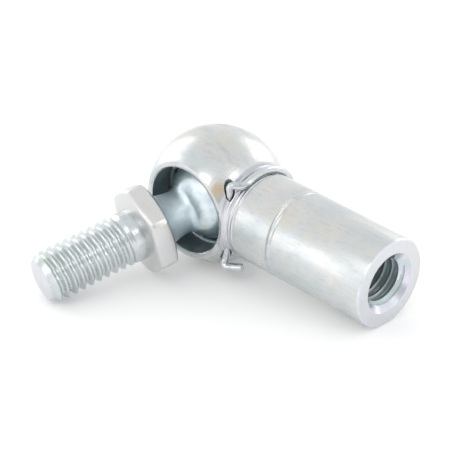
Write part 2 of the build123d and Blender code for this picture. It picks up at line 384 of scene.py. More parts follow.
def thread_tree():
    """A closed threaded rod on local Z, as one sheet of faces that winds with the helix.

    The sheet's rows run along the thread's crests and roots. Past the ends they close in to the axis.
    """
    tree = new_tree(
        "Threaded rod",
        Float=(
            "Pitch", "Crest Radius", "Root Radius", "Low End", "High End",
            "Run-out Start", "Run-out Length", "End Chamfer", "End Dome",
        ),
        Int=("Turns", "Steps Around", "Rows per Turn"),
        Material=("Material",),
    )
    node = partial(add_node, tree)
    given = node("NodeGroupInput").outputs
    pitch = given["Pitch"]
    low_end = given["Low End"]
    high_end = given["High End"]
    crest_r = given["Crest Radius"]
    rows = node("ShaderNodeMath", {0: given["Turns"], 1: given["Rows per Turn"]}, operation="MULTIPLY")
    rows_more = node("ShaderNodeMath", {0: rows, 1: 1.0}, operation="ADD")
    steps_more = node("ShaderNodeMath", {0: given["Steps Around"], 1: 1.0}, operation="ADD")
    grid = {"Size X": 1.0, "Size Y": 1.0, "Vertices X": steps_more, "Vertices Y": rows_more}
    sheet = node("GeometryNodeMeshGrid", grid)
    where = node("ShaderNodeSeparateXYZ", {0: node("GeometryNodeInputPosition")}).outputs
    around = node("ShaderNodeMath", {0: where[0], 1: 0.5}, operation="ADD")
    along = node("ShaderNodeMath", {0: where[1], 1: 0.5}, operation="ADD")

    # Height of each point before the ends are closed: it climbs a pitch each turn, from two pitches below
    full = node("ShaderNodeMath", {0: given["Turns"], 1: pitch}, operation="MULTIPLY")
    climb = node("ShaderNodeMath", {0: along, 1: full}, operation="MULTIPLY")
    lead = node("ShaderNodeMath", {0: around, 1: pitch}, operation="MULTIPLY")
    bottom = node("ShaderNodeMath", {0: pitch, 1: -2.0, 2: low_end}, operation="MULTIPLY_ADD")
    raised = node("ShaderNodeMath", {0: climb, 1: lead}, operation="ADD")
    free = node("ShaderNodeMath", {0: raised, 1: bottom}, operation="ADD")
    height = node("ShaderNodeClamp", {0: free, 1: low_end, 2: high_end})

    # Straight flanks between flat crests and roots, from how far the point is through one turn of the profile
    helix = node("ShaderNodeMath", {0: height, 1: lead}, operation="SUBTRACT")
    phase = node("ShaderNodeMath", {0: helix, 1: pitch}, operation="DIVIDE")
    share = node("ShaderNodeMath", {0: phase}, operation="FRACT")
    centred = node("ShaderNodeMath", {0: share, 1: 2.0, 2: -1.0}, operation="MULTIPLY_ADD")
    away = node("ShaderNodeMath", {0: centred}, operation="ABSOLUTE")
    rooted = node("ShaderNodeMapRange", {"Value": away, "From Min": 0.1, "From Max": 0.82})

    # The thread reaches its full depth over the run-out, and the end chamfer leads it in
    run_start = given["Run-out Start"]
    run_end = node("ShaderNodeMath", {0: run_start, 1: given["Run-out Length"]}, operation="ADD")
    cut = node(
        "ShaderNodeMapRange",
        {"Value": height, "From Min": run_start, "From Max": run_end},
        interpolation_type="SMOOTHSTEP",
    )
    depth = node("ShaderNodeMath", {0: crest_r, 1: given["Root Radius"]}, operation="SUBTRACT")
    cut_depth = node("ShaderNodeMath", {0: depth, 1: cut}, operation="MULTIPLY")
    sunk = node("ShaderNodeMath", {0: rooted, 1: cut_depth}, operation="MULTIPLY")
    threaded = node("ShaderNodeMath", {0: crest_r, 1: sunk}, operation="SUBTRACT")
    to_end = node("ShaderNodeMath", {0: high_end, 1: height}, operation="SUBTRACT")
    face_r = node("ShaderNodeMath", {0: crest_r, 1: given["End Chamfer"]}, operation="SUBTRACT")
    cone = node("ShaderNodeMath", {0: face_r, 1: to_end}, operation="ADD")
    led_in = node("ShaderNodeMath", {0: threaded, 1: cone}, operation="MINIMUM")

    # Past the ends the sheet closes in to the axis, and domes at the high end
    below = node("ShaderNodeMath", {0: low_end, 1: free}, operation="SUBTRACT")
    above = node("ShaderNodeMath", {0: free, 1: high_end}, operation="SUBTRACT")
    past = node("ShaderNodeMath", {0: below, 1: above}, operation="MAXIMUM")
    left = node("ShaderNodeMapRange", {"Value": past, "From Max": pitch, "To Min": 1.0, "To Max": 0.0})
    radius = node("ShaderNodeMath", {0: led_in, 1: left}, operation="MULTIPLY")
    domed = node("ShaderNodeMath", {0: left, 1: 2.0}, operation="POWER")
    high_side = node("ShaderNodeMath", {0: above, 1: 0.0}, operation="GREATER_THAN")
    swell = node("ShaderNodeMath", {0: domed, 1: -1.0, 2: 1.0}, operation="MULTIPLY_ADD")
    lift = node("ShaderNodeMath", {0: swell, 1: high_side}, operation="MULTIPLY")
    top = node("ShaderNodeMath", {0: lift, 1: given["End Dome"], 2: height}, operation="MULTIPLY_ADD")

    turn = node("ShaderNodeMath", {0: around, 1: 2 * pi}, operation="MULTIPLY")
    cosine = node("ShaderNodeMath", {0: turn}, operation="COSINE")
    sine = node("ShaderNodeMath", {0: turn}, operation="SINE")
    x = node("ShaderNodeMath", {0: cosine, 1: radius}, operation="MULTIPLY")
    y = node("ShaderNodeMath", {0: sine, 1: radius}, operation="MULTIPLY")
    spot = node("ShaderNodeCombineXYZ", {0: x, 1: y, 2: top})
    wound = node("GeometryNodeSetPosition", {"Geometry": sheet, "Position": spot})
    closed = node("GeometryNodeMergeByDistance", {"Geometry": wound, "Distance": 0.1 * HAIR})
    return end_tree(tree, closed, given["Material"])


def thread_piece(name, values):
    """A threaded rod on local Z, run through the thread tree with these named inputs."""
    tree = bpy.data.node_groups.get("Threaded rod") or thread_tree()
    return run_tree(link_object(name, bpy.data.meshes.new(name)), tree, values)


def wire_tree():
    """Round wire along a line of points, with its two ends rounded over."""
    tree = new_tree(
        "Bent wire", Float=("Wire Radius", "End Rounding", "Step"), Int=("Sides",), Material=("Material",)
    )
    node = partial(add_node, tree)
    given = node("NodeGroupInput").outputs
    line = node("GeometryNodeMeshToCurve", {"Mesh": given["Geometry"]})
    even = node("GeometryNodeResampleCurve", {"Curve": line, "Length": given["Step"]}, mode="LENGTH")
    gone = node("GeometryNodeSplineParameter").outputs["Length"]
    whole = node("GeometryNodeSplineLength").outputs["Length"]
    left = node("ShaderNodeMath", {0: whole, 1: gone}, operation="SUBTRACT")
    nearest = node("ShaderNodeMath", {0: gone, 1: left}, operation="MINIMUM")
    # The wire thins to 0.62 of its radius at each end, where a flat cap closes it
    share = node(
        "ShaderNodeMapRange",
        {"Value": nearest, "From Min": 0.0, "From Max": given["End Rounding"], "To Min": 0.62},
        interpolation_type="SMOOTHERSTEP",
    )
    section = {"Radius": given["Wire Radius"], "Resolution": given["Sides"]}
    circle = node("GeometryNodeCurvePrimitiveCircle", section)
    swept = {"Curve": even, "Profile Curve": circle, "Scale": share, "Fill Caps": True}
    tube = node("GeometryNodeCurveToMesh", swept)
    return end_tree(tree, tube, given["Material"])


def wire_piece(name, points, wire_d, rounding, step, material):
    """A bent wire through these points of the socket's frame, run through the wire tree."""
    mesh = bpy.data.meshes.new(name)
    mesh.from_pydata(points, [(i, i + 1) for i in range(len(points) - 1)], [])
    tree = bpy.data.node_groups.get("Bent wire") or wire_tree()
    values = {
        "Wire Radius": wire_d / 2,
        "End Rounding": rounding,
        "Step": step,
        "Sides": 20,
        "Material": material,
    }
    piece = run_tree(link_object(name, mesh), tree, values)
    piece.data.transform(SOCKET_PLACE)
    smooth(piece.data, 40)
    return piece


# ---------------------------------------------------------------- shapes that pieces share

def ring_radius(scene):
    """Radius of the retaining ring at its wire's middle, where it stays clear of the ball."""
    wires = scene.ball_joint_wires
    from_centre = (scene.ball_joint_stud.ball_d + wires.ring_wire_d) / 2 + wires.ring_ball_gap
    return sqrt(from_centre**2 - scene.ball_joint_socket.ring_distance**2)


def neck_groove(sizes):
    """Radius of the neck groove's floor, and how far along the shank the head's round meets it."""
    floor_r = sizes.shank_d / 2 - sizes.neck_groove_depth
    return floor_r, sqrt((sizes.head_d / 2) ** 2 - floor_r**2)


def clip_corners(sizes, wires):
    """Corners of the safety clip in the socket's frame: tip, hook, foot and top of the pin, shoulder."""
    slope = tan(sizes.cross_hole_lean)
    across = 1 + slope**2
    middle = -sizes.cross_hole_y * slope / across
    left = (sizes.head_d / 2) ** 2 - sizes.cross_hole_x**2 - sizes.cross_hole_y**2
    reach = sqrt(middle**2 + left / across)

    def on_pin(z):
        return Vector((sizes.cross_hole_x, z * slope - sizes.cross_hole_y, z))

    top = on_pin(reach - middle) + Vector((0, 0, wires.shoulder_height))
    foot = on_pin(-reach - middle) - Vector((0, 0, wires.limb_start))
    corner = foot + Vector(wires.limb)
    return corner + Vector(wires.hook), corner, foot, top, top + Vector(wires.shoulder)


# ---------------------------------------------------------------- materials

def new_material(name):
    """A material with an empty tree."""
    material = bpy.data.materials.new(name)
    material.use_nodes = True
    material.node_tree.nodes.clear()
    return material


def end_material(material, values):
    """Gives a material its Principled shader, with these inputs, and its output."""
    shader = add_node(material.node_tree, "ShaderNodeBsdfPrincipled", values)
    add_node(material.node_tree, "ShaderNodeOutputMaterial", {"Surface": shader})
    return material


def local_point(tree, matrix):
    """The point on a piece, in the frame of this matrix and in millimetres."""
    inverse = matrix.inverted()
    values = {
        "Vector": add_node(tree, "ShaderNodeTexCoord").outputs["Object"],
        "Location": inverse.translation / MM,
        "Rotation": inverse.to_euler(),
        "Scale": (1 / MM, 1 / MM, 1 / MM),
    }
    return add_node(tree, "ShaderNodeMapping", values)


def stained(material, colours, spot, size_mm):
    """Lets a yellow-brown passivation stain fade out from a spot, broken up by noise of about 0.4 mm."""
    tree = material.node_tree
    node = partial(add_node, tree)
    base = tree.nodes["Principled BSDF"].inputs["Base Color"]
    clean = base.links[0].from_socket
    point = local_point(tree, SOCKET_PLACE)
    far = node("ShaderNodeVectorMath", {0: point, 1: spot}, operation="DISTANCE").outputs["Value"]
    noise = node("ShaderNodeTexNoise", {"Vector": point, "Scale": 2.6, "Detail": 5.0, "Roughness": 0.75})
    ragged = node("ShaderNodeMath", {0: noise, 1: size_mm, 2: far}, operation="MULTIPLY_ADD")
    fade = {"From Min": size_mm * 0.75, "From Max": size_mm * 1.45, "To Min": 0.75, "To Max": 0.0}
    share = node("ShaderNodeMapRange", {"Value": ragged, **fade}, interpolation_type="SMOOTHSTEP")
    inputs = {0: share, MIX_A: clean, MIX_B: linear(colours.stain)}
    mixed = node("ShaderNodeMix", inputs, data_type="RGBA").outputs[MIX_RESULT]
    tree.links.new(mixed, base)


def zinc(name, matrix, colours, base, tints, roughness, marks, lines, height, cloud_mm=3.5, fleck_and_line_shade=0.3):
    """Bright zinc plating on steel.

    The clear passivation tints it in soft clouds of a few millimetres, which vary the gloss too. Marks are
    flecks of the steel's surface under the plating, given as the size of one mark in millimetres along the
    three local ways, and the fleck amount sets how dark they get; made strong and stretched into rings, as on
    the cove, they are painted shade along turned lines. Lines are tool marks, given the same way, and their
    height is in millimetres too. Real tool marks lie closer than a tenth of a millimetre, too fine to show,
    so they are drawn coarser.
    """
    material = new_material(name)
    node = partial(add_node, material.node_tree)
    point = local_point(material.node_tree, matrix)
    cool, warm = tints

    # Clouds of the cool tint, then of the warm one, read some way off so that they don't lie on the cool
    size = 1 / cloud_mm
    clouds = node("ShaderNodeTexNoise", {"Vector": point, "Scale": size, "Detail": 3.0, "Roughness": 0.55})
    share = node("ShaderNodeMapRange", {"Value": clouds, "From Min": 0.36, "From Max": 0.64})
    inputs = {0: share, MIX_A: linear(base), MIX_B: linear(cool)}
    cooled = node("ShaderNodeMix", inputs, data_type="RGBA").outputs[MIX_RESULT]
    off = node("ShaderNodeVectorMath", {0: point, 1: (17.0, 5.0, 11.0)}, operation="ADD")
    inputs = {"Vector": off, "Scale": 0.8 * size, "Detail": 2.0, "Roughness": 0.5}
    warm_clouds = node("ShaderNodeTexNoise", inputs)
    inputs = {"Value": warm_clouds, "From Min": 0.52, "From Max": 0.72, "To Max": 0.75}
    warm_share = node("ShaderNodeMapRange", inputs)
    inputs = {0: warm_share, MIX_A: cooled, MIX_B: linear(warm)}
    tinted = node("ShaderNodeMix", inputs, data_type="RGBA").outputs[MIX_RESULT]

    # Flecks, a little duller than the plating round them. Made strong and stretched into rings, as on the
    # cove, they are painted shade along the turned lines
    spread = node("ShaderNodeVectorMath", {0: point, 1: marks}, operation="DIVIDE")
    flecks = node("ShaderNodeTexNoise", {"Vector": spread, "Scale": 1.0, "Detail": 4.0, "Roughness": 0.6})
    inputs = {"Value": flecks, "From Min": 0.5, "From Max": 0.8, "To Max": fleck_and_line_shade}
    fleck_and_shade_share = node("ShaderNodeMapRange", inputs)
    inputs = {0: fleck_and_shade_share, MIX_A: tinted, MIX_B: linear(colours.fleck_and_line_shade)}
    flecked_and_shaded = node("ShaderNodeMix", inputs, data_type="RGBA").outputs[MIX_RESULT]
    ends = {"From Min": 0.3, "From Max": 0.7, "To Min": roughness - 0.05, "To Max": roughness + 0.07}
    gloss = node("ShaderNodeMapRange", {"Value": clouds, **ends})
    rough = node("ShaderNodeMath", {0: fleck_and_shade_share, 1: 0.25, 2: gloss}, operation="MULTIPLY_ADD")

    # Tool marks stand up and flecks are pits
    drawn = node("ShaderNodeVectorMath", {0: point, 1: lines}, operation="DIVIDE")
    ridges = node("ShaderNodeTexNoise", {"Vector": drawn, "Scale": 1.0, "Detail": 3.0, "Roughness": 0.6})
    relief = node("ShaderNodeMath", {0: flecks, 1: -0.5, 2: ridges}, operation="MULTIPLY_ADD")
    bump = node("ShaderNodeBump", {"Height": relief, "Strength": 1.0, "Distance": height * MM})
    values = {"Base Color": flecked_and_shaded, "Roughness": rough, "Normal": bump, "Metallic": 1.0}
    return end_material(material, values)


def painted_bore_shade(colours):
    """Darker steel for the bore and cross hole, painted shade of those hollows: duller than the plating, with
    a gloss that breaks up in smears.
    """
    material = new_material("painted_bore_shade")
    node = partial(add_node, material.node_tree)
    point = local_point(material.node_tree, SOCKET_PLACE)
    smears = node("ShaderNodeTexNoise", {"Vector": point, "Scale": 0.9, "Detail": 3.0, "Distortion": 0.6})
    ends = {"From Min": 0.35, "From Max": 0.65, "To Min": 0.35, "To Max": 0.55}
    rough = node("ShaderNodeMapRange", {"Value": smears, **ends})
    # Two tones of painted shade, deeper and paler, mixed in smears
    inputs = {0: smears, MIX_A: linear(colours.bore_shade_deep), MIX_B: linear(colours.bore_shade_pale)}
    shade = node("ShaderNodeMix", inputs, data_type="RGBA").outputs[MIX_RESULT]
    bump = node("ShaderNodeBump", {"Height": smears, "Strength": 0.6, "Distance": 0.05 * MM})
    values = {"Base Color": shade, "Roughness": rough, "Normal": bump, "Metallic": 0.9}
    return end_material(material, values)


def drawn_wire(name, colours, code, roughness):
    """Drawn spring wire: a fine grain and a few darker spots of wear, which are duller too."""
    material = new_material(name)
    node = partial(add_node, material.node_tree)
    point = local_point(material.node_tree, SOCKET_PLACE)
    spots = node("ShaderNodeTexNoise", {"Vector": point, "Scale": 1.6, "Detail": 4.0, "Roughness": 0.6})
    worn = node("ShaderNodeMapRange", {"Value": spots, "From Min": 0.5, "From Max": 0.75, "To Max": 0.5})
    inputs = {0: worn, MIX_A: linear(code), MIX_B: linear(colours.wire_wear)}
    shade = node("ShaderNodeMix", inputs, data_type="RGBA").outputs[MIX_RESULT]
    ends = {"From Min": 0.3, "From Max": 0.7, "To Min": roughness - 0.05, "To Max": roughness + 0.1}
    rough = node("ShaderNodeMapRange", {"Value": spots, **ends})
    grain = node("ShaderNodeTexNoise", {"Vector": point, "Scale": 7.0, "Detail": 2.0})
    bump = node("ShaderNodeBump", {"Height": grain, "Strength": 0.5, "Distance": 0.012 * MM})
    values = {"Base Color": shade, "Roughness": rough, "Normal": bump, "Metallic": 1.0}
    return end_material(material, values)


# ---------------------------------------------------------------- ball stud

def stud_ball_and_neck(sizes, colours):
    """The ball, and the neck that waists between it and the hexagon."""
    # Polished ball: the smoothest surface, it mirrors the studio with little blur
    polished = zinc(
        "zinc_on_polished_steel", STUD_PLACE, colours, colours.polished, ("#D0E0E7", "#EDEFE6"), 0.31,
        marks=(1.2, 1.2, 1.2), lines=(1.5, 1.5, 0.4), height=0.03, cloud_mm=2.2, fleck_and_line_shade=0.4,
    )
    # Turned neck: satin, with the tool's lines round it
    necked = zinc(
        "zinc_on_turned_neck", STUD_PLACE, colours, "#E6F4F9", ("#D3E5ED", "#E9F3F3"), 0.4,
        marks=(1.6, 1.6, 1.6), lines=(3.0, 3.0, 0.2), height=0.012,
    )
    ball_r = sizes.ball_d / 2
    neck_r = sizes.neck_d / 2
    root_r = sizes.neck_root_d / 2
    blend_r = sizes.neck_blend
    blend_out = neck_r + blend_r
    blend_up = sqrt((ball_r + blend_r) ** 2 - blend_out**2)
    ball_end = degrees(atan2(blend_up, blend_out))
    rise = sizes.hexagon_start - blend_up
    flare = root_r - neck_r
    waist_r = (rise**2 + flare**2) / (2 * flare)
    waist_end = degrees(asin(rise / waist_r))
    seat = sizes.hexagon_start + sizes.neck_seat
    outline = [(0, -ball_r)]
    outline += arc((0, 0), ball_r, -90, ball_end, 64)[1:]
    outline += arc((blend_out, blend_up), blend_r, 180 + ball_end, 180, 6)[1:]
    outline += arc((neck_r + waist_r, blend_up), waist_r, 180, 180 - waist_end, 16)[1:]
    outline += [(root_r, seat), (0, seat)]
    ball = turned("stud_ball_and_neck", outline, 128, STUD_PLACE)
    set_materials(ball, polished, necked)
    for face in ball.data.polygons:
        if (face.center - BALL_CENTRE).length > ball_r + HAIR:
            face.material_index = 1
    smooth(ball.data, 50)
    return ball


def stud_hexagon(sizes, colours):
    """The hexagon, with both faces chamfered round and each flat a little crowned."""
    # Milled hexagon: flats with an even satin
    milled = zinc(
        "zinc_on_milled_steel", STUD_PLACE, colours, colours.zinc, ("#D8D8DA", "#D6D6D2"), 0.34,
        marks=(1.2, 1.2, 0.5), lines=(0.5, 0.5, 0.12), height=0.006, fleck_and_line_shade=0.12,
    )
    half = sizes.hexagon_across_flats / 2
    face_r = sizes.hexagon_face_d / 2
    # A ring inside each flat face keeps its middle flat when the edges are rounded
    inner_r = 1.5 * MM
    low = sizes.hexagon_start
    high = low + sizes.hexagon_thickness
    slope = tan(sizes.hexagon_slope)

    def reach(turn):
        """From the axis to the flats, at this turn."""
        side = (turn + pi / 6) % (pi / 3) - pi / 6
        return half / cos(side) - sizes.hexagon_crown * (6 * side / pi) ** 2

    stations = [
        (0, low),
        (inner_r, low),
        (face_r, low),
        lambda turn: (reach(turn), low + (reach(turn) - face_r) * slope),
        lambda turn: (reach(turn), high - (reach(turn) - face_r) * slope),
        (face_r, high),
        (inner_r, high),
        (0, high),
    ]
    turn_about = Matrix.Rotation(sizes.hexagon_turn, 4, "Z")
    hexagon = turned("stud_hexagon", stations, 96, STUD_PLACE @ turn_about)
    bevel = hexagon.modifiers.new("plated edges", "BEVEL")
    bevel.width = sizes.hexagon_edge
    bevel.segments = 3
    bevel.limit_method = "ANGLE"
    bevel.angle_limit = radians(20)
    settled(hexagon)
    set_materials(hexagon, milled)
    smooth(hexagon.data, 25)
    return hexagon


def stud_thread(sizes, colours):
    """The threaded end with its plain collar."""
    # Rolled thread: rounded crests that catch the light
    rolled = zinc(
        "zinc_on_rolled_thread", STUD_PLACE, colours, "#D6DBDC", (colours.zinc_cool, "#CBD5CF"), 0.24,
        marks=(0.8, 0.8, 0.5), lines=(0.8, 0.8, 0.6), height=0.014,
    )
    # End of the bar, cropped before the thread was rolled: matt, with a lilac bloom
    cropped = zinc(
        "zinc_on_cropped_end", STUD_PLACE, colours, colours.zinc_faced, ("#DFDFE6", colours.zinc), 0.36,
        marks=(0.7, 0.7, 0.7), lines=(0.4, 0.4, 0.4), height=0.02, cloud_mm=2.0,
    )
    high = sizes.hexagon_start + sizes.hexagon_thickness
    start = high - sizes.thread_seat
    end = high + sizes.stud_length
    values = {
        "Pitch": sizes.thread_pitch,
        "Crest Radius": sizes.thread_d / 2,
        "Root Radius": sizes.thread_root_d / 2,
        "Low End": start,
        "High End": end - sizes.end_dome,
        "Run-out Start": high + sizes.collar,
        "Run-out Length": sizes.run_out,
        "End Chamfer": sizes.end_chamfer,
        "End Dome": sizes.end_dome,
        "Turns": ceil((end - start) / sizes.thread_pitch) + 4,
        "Steps Around": 96,
        "Rows per Turn": 14,
        "Material": rolled,
    }
    thread = thread_piece("stud_thread", values)
    set_materials(thread, rolled, cropped)
    # Only the domed end faces along the stud
    for face in thread.data.polygons:
        if face.normal.z > 0.9:
            face.material_index = 1
    thread.data.transform(STUD_PLACE)
    smooth(thread.data, 35)
    return thread


# ---------------------------------------------------------------- socket

def socket_outline(sizes):
    """Outline of the head and its shank, as pairs of radius and distance along the shank."""
    head_r = sizes.head_d / 2
    shank_r = sizes.shank_d / 2
    floor_r, groove_x = neck_groove(sizes)
    ramp_x = groove_x + sizes.neck_groove_width
    cove_r = sqrt(head_r**2 - sizes.cove_start**2)
    outline = [(0, -head_r)]
    outline += arc((0, 0), head_r, -90, degrees(atan2(sizes.cove_start, cove_r)), 110)[1:]

    # Hollow cove down to the groove, with the lines that the form tool left; they stop short of its far side
    cove_length = ramp_x - 0.1 * MM - sizes.cove_start
    for i in range(1, 49):
        gone = cove_length * i / 48
        share = min(gone / (groove_x - sizes.cove_start), 1)
        hollow = sizes.cove_depth * sin(pi * share)
        line = sizes.turned_line * (1 - cos(2 * pi * gone / sizes.turned_pitch)) / 2
        outline.append((cove_r + (floor_r - cove_r) * share - hollow - line, sizes.cove_start + gone))
    outline += [(floor_r, ramp_x), (shank_r, ramp_x + sizes.neck_groove_depth)]

    # Turned ring: a line on each side, and a floor that rises to half its depth in the middle
    ring_low = sizes.tool_ring - sizes.tool_ring_width / 2
    ring_high = sizes.tool_ring + sizes.tool_ring_width / 2
    nick = sizes.tool_line_width / 2
    line_r = shank_r - sizes.tool_line_depth
    ring_r = shank_r - sizes.tool_ring_depth
    outline += [(shank_r, ring_low - nick), (line_r, ring_low), (ring_r, ring_low + nick)]
    outline += [((shank_r + ring_r) / 2, sizes.tool_ring)]
    outline += [(ring_r, ring_high - nick), (line_r, ring_high), (shank_r, ring_high + nick)]

    # The end's edge is broken in two steps, the second just short of the corner
    chamfer = sizes.end_chamfer
    corner = 0.3 * chamfer
    outline += [(shank_r, sizes.shank_end - chamfer), (shank_r - corner, sizes.shank_end - corner)]
    return outline + [(shank_r - chamfer, sizes.shank_end), (0, sizes.shank_end)]


def drill_point(sizes):
    """How far along the shank the tapping drill's full width and its point reach."""
    full_x = sizes.shank_end - sizes.drill_depth
    return full_x, full_x - sizes.drill_d / 2 / tan(sizes.drill_point / 2)


def socket_cutters(sizes, wires, ring_r):
    """What is cut from the socket: its opening, bore, cross hole, the clip's seat and the threaded hole."""
    head_r = sizes.head_d / 2

    # Flat face of the opening: a cone breaks the head's edge, then flares clear of the head
    lip_r = sqrt(head_r**2 - sizes.opening**2)
    clear_r = lip_r + 0.6 * MM
    opening = [
        (0, sizes.opening),
        (lip_r - sizes.lip_chamfer, sizes.opening),
        (lip_r + sizes.lip_out, sizes.opening - sizes.lip_back),
        (clear_r, sizes.opening + 0.2 * MM),
        (clear_r, head_r + PAST),
        (0, head_r + PAST),
    ]

    # Bore with a round bottom, the ring's groove and a chamfered rim
    bore_r = sizes.bore_d / 2
    groove_r = sizes.ring_groove_d / 2
    groove_half = degrees(acos((bore_r - ring_r) / groove_r))
    bore = [(0, -bore_r)]
    bore += arc((0, 0), bore_r, -90, 0, 40)[1:]
    bore += arc((ring_r, sizes.ring_distance), groove_r, -groove_half, groove_half, 14)
    bore += [
        (bore_r, sizes.opening - sizes.rim_chamfer),
        (bore_r + sizes.rim_chamfer + PAST, sizes.opening + PAST),
        (0, sizes.opening + PAST),
    ]

    # Drilled and countersunk hole in the shank
    sink_r = sizes.countersink_d / 2
    drill_r = sizes.drill_d / 2
    full_x, point_x = drill_point(sizes)
    hole = [
        (0, point_x),
        (drill_r, full_x),
        (drill_r, sizes.shank_end - sink_r + drill_r),
        (sink_r + PAST, sizes.shank_end + PAST),
        (0, sizes.shank_end + PAST),
    ]

    # Cross hole for the clip's pin, and the seat of the clip's shoulder beside its mouth
    pin_r = sizes.cross_hole_d / 2
    pin = [(0, -head_r), (pin_r, -head_r), (pin_r, head_r), (0, head_r)]
    lean = (0, sin(sizes.cross_hole_lean), cos(sizes.cross_hole_lean))
    pin_place = SOCKET_PLACE @ place((sizes.cross_hole_x, -sizes.cross_hole_y, 0), lean, (1, 0, 0))
    top, shoulder = clip_corners(sizes, wires)[-2:]
    seat_place = SOCKET_PLACE @ place(top, shoulder - top, (0, 0, 1))
    seat_r = wires.clip_wire_d / 2 + wires.seat_gap
    seat_length = (shoulder - top).length + wires.clip_wire_d
    seat = [(0, 0), (seat_r, 0), (seat_r, seat_length), (0, seat_length)]

    # The tap cuts at full depth all the way, so its run-out starts at the ball
    values = {
        "Pitch": sizes.thread_pitch,
        "Crest Radius": sizes.thread_d / 2,
        "Root Radius": sizes.tap_root_d / 2,
        "Low End": sizes.shank_end - sizes.thread_depth,
        "High End": sizes.shank_end + sizes.tap_past,
        "Run-out Start": 0.0,
        "Run-out Length": MM,
        "End Chamfer": 0.0,
        "End Dome": 0.0,
        "Turns": ceil(sizes.thread_depth / sizes.thread_pitch) + 5,
        "Steps Around": 72,
        "Rows per Turn": 12,
    }
    tap = thread_piece("tap_cutter", values)
    tap.data.transform(SHANK_PLACE)
    return [
        turned("face_cutter", opening, 192, BORE_PLACE),
        turned("bore_cutter", bore, 160, BORE_PLACE),
        turned("pin_cutter", pin, 48, pin_place),
        turned("seat_cutter", seat, 48, seat_place),
        turned("hole_cutter", hole, 96, SHANK_PLACE),
        tap,
    ]


def socket_materials(colours):
    """The socket's finishes, in the order of its material slots."""
    tints = (colours.zinc_cool, colours.zinc_warm)
    # Head: turned, with a satin that follows the tool
    head = zinc(
        "zinc_on_turned_steel", SOCKET_PLACE, colours, colours.zinc, tints, 0.27,
        marks=(2.4, 1.0, 1.0), lines=(0.25, 4.0, 4.0), height=0.013, cloud_mm=3.2, fleck_and_line_shade=0.38,
    )
    # The stain sits on the head between the bore's rim and the cross hole, at a point in millimetres
    stained(head, colours, spot=(4.3, -4.5, 4.4), size_mm=1.1)
    # Shank: the drawn bar's own surface, with flecks and scratches along it
    shank = zinc(
        "zinc_on_drawn_bar", SOCKET_PLACE, colours, colours.zinc, tints, 0.29,
        marks=(1.3, 0.28, 0.28), lines=(6.0, 0.22, 0.22), height=0.012,
    )
    # End: faced last, with the lilac of thin passivation
    faced = zinc(
        "zinc_on_faced_steel", SOCKET_PLACE, colours, colours.zinc_faced, ("#DADCE0", colours.zinc), 0.4,
        marks=(0.8, 0.5, 0.5), lines=(0.5, 0.4, 0.4), height=0.008, fleck_and_line_shade=0.08,
    )
    # Tapped thread: the plating is matt this deep in a hole, so light spreads from flank to flank
    tapped = zinc(
        "zinc_on_tapped_thread", SOCKET_PLACE, colours, "#C6D0CE", ("#B6C4C8", "#C8CDC0"), 0.43,
        marks=(0.9, 0.9, 0.9), lines=(0.4, 0.8, 0.8), height=0.008,
    )
    # Cove: turned lines 0.4 mm apart, with a lilac bloom where the plating is thin. Its flecks, made strong
    # and stretched into rings round the shank, are painted shade along the turned lines
    cove = zinc(
        "zinc_on_turned_cove", SOCKET_PLACE, colours, "#E1E2E5", ("#D0D0D8", "#DEE0E3"), 0.26,
        marks=(0.4, 9.0, 9.0), lines=(0.12, 9.0, 9.0), height=0.02, cloud_mm=3.0, fleck_and_line_shade=0.9,
    )
    # Countersink: the cutter leaves it smoother than the face, so it holds brighter, bluer lights
    sunk = zinc(
        "zinc_on_countersunk_steel", SOCKET_PLACE, colours, "#E2E6EA", ("#D9D8E8", "#CFE0DE"), 0.2,
        marks=(0.8, 0.8, 0.8), lines=(0.3, 0.8, 0.8), height=0.01, cloud_mm=2.0, fleck_and_line_shade=0.15,
    )
    # The fifth finish, for the bore and cross hole, is painted shade
    return head, shank, faced, tapped, painted_bore_shade(colours), cove, sunk


def socket_slots(sizes, ring_r):
    """A rule that tells which finish a point on the socket, in the socket's frame, was left with."""
    head_r = sizes.head_d / 2
    sink_r = sizes.countersink_d / 2
    pin_slope = tan(sizes.cross_hole_lean)
    # The cross hole breaks into the cove, so its wall gets half the slack
    pin_wall = sizes.cross_hole_d / 2 + HAIR / 2
    bore_edge = ring_r + sizes.ring_groove_d / 2 + HAIR
    floor_r, groove_x = neck_groove(sizes)
    ramp_x = groove_x + sizes.neck_groove_width
    point_x = drill_point(sizes)[1]
    turned_half = (sizes.tool_ring_width + sizes.tool_line_width) / 2
    # The painted shade of the bore and cross hole stops where a hole meets the head's round, and the cove
    # reaches this far below the groove's floor
    pin_edge = head_r - 0.1 * MM
    mouth_edge = head_r - 0.25 * MM
    cove_floor = floor_r - 0.2 * MM

    def slot(point):
        x, y, z = point
        from_shank = Vector((y, z)).length
        from_bore = Vector((x, z)).length
        from_pin = Vector((x - sizes.cross_hole_x, y + sizes.cross_hole_y - z * pin_slope)).length
        # Walls of the cross hole and of the bore get the painted shade
        if from_pin < pin_wall and point.length < pin_edge:
            return PAINTED_BORE_SHADE
        if from_bore < bore_edge and y > sizes.rim_chamfer - sizes.opening and point.length < mouth_edge:
            return PAINTED_BORE_SHADE
        if sizes.cove_start < x < ramp_x and from_shank > cove_floor:
            return COVE
        if abs(from_shank + sizes.shank_end - x - sink_r) < HAIR:
            return SUNK
        if x > point_x - HAIR and from_shank < sink_r:
            return TAPPED
        if x > sizes.shank_end - HAIR:
            return FACED
        if x > sizes.shank_end - sizes.end_chamfer:
            return SUNK
        if x > ramp_x and abs(x - sizes.tool_ring) > turned_half:
            return SHANK
        return HEAD

    return slot


# ---------------------------------------------------------------- operators

